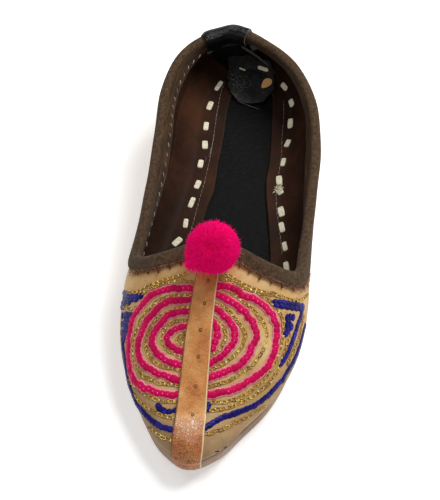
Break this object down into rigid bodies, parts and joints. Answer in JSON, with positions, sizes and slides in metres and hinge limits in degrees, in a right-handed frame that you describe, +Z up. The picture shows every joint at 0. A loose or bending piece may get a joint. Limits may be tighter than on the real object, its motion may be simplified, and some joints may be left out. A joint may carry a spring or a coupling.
{
  "type": "mojari shoe",
  "caption": "Low hand-sewn leather slipper with a pointed toe, open collar, embroidered vamp, centre strip, pompom at the throat and a heel pull tab.",
  "frame": {"origin": "on the floor under the middle of the shoe's box", "axes": "+Y towards the heel, -Y towards the toe, +X to the side that is on the right when the toe points at the viewer, +Z up"},
  "size_m": [0.0902, 0.243, 0.073],
  "materials": {
    "vamp_leather": "smooth tan vegetable leather",
    "sole_leather": "raw edged sole leather",
    "lift_leather": "stacked heel leather",
    "insole_leather": "black fine grained leather",
    "lining_leather": "dark brown lining leather",
    "black_leather": "glossy black leather",
    "binding_cloth": "matt napped binding",
    "trim_leather": "pinked dark red brown leather",
    "strip_leather": "polished orange tan leather",
    "pompom_yarn": "cut wool yarn"
  },
  "bodies": {
    "root": {"upper": "vamp_leather", "outsole": "sole_leather", "heel_lift": "lift_leather", "insole": "insole_leather", "lining_margin": "lining_leather", "heel_patch": "black_leather", "collar_binding": "binding_cloth", "throat_trim": "trim_leather", "centre_strip": "strip_leather", "pompom": "pompom_yarn", "pull_tab": "black_leather"}
  },
  "joints": []
}
